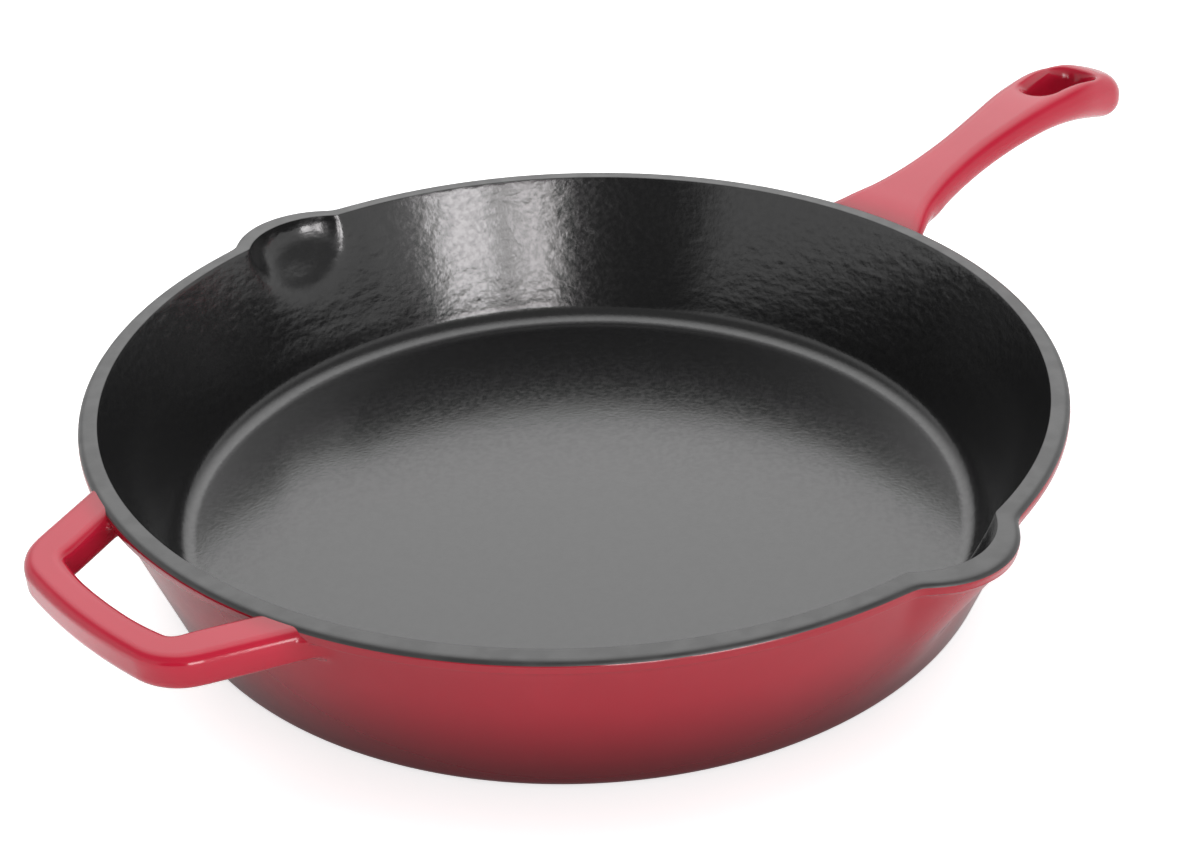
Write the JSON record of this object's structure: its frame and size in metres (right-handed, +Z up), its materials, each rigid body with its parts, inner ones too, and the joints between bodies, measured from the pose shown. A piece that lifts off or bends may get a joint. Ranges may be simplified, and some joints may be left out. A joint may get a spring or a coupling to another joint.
{
  "type": "cast iron skillet",
  "caption": "Round enamelled cast iron skillet with pour spouts on both sides, a long handle with a hanging hole, and a looped helper handle.",
  "frame": {"origin": "centre of the flat base, on the surface that the skillet stands on", "axes": "+Z up, +X along the long handle, pour spouts along +Y and -Y, helper handle along -X"},
  "size_m": [0.4778, 0.323, 0.08],
  "materials": {
    "iron": "bare sand-cast iron, hidden under the enamel",
    "black_enamel": "satin black porcelain enamel with a fine pebbled surface",
    "rim_enamel": "satin black ground coat left bare of colour on the rim",
    "red_enamel": "gloss red porcelain enamel, shading to dark maroon at the base",
    "base_enamel": "dark porcelain enamel on the underside, lightly worn",
    "handle_enamel": "gloss red porcelain enamel"
  },
  "bodies": {
    "root": {"pan_casting": "iron", "long_handle_casting": "iron", "helper_handle_casting": "iron", "cooking_surface_enamel": "black_enamel", "rim_enamel": "rim_enamel", "wall_enamel": "red_enamel", "base_enamel": "base_enamel", "long_handle_enamel": "handle_enamel", "helper_handle_enamel": "handle_enamel"}
  },
  "joints": []
}
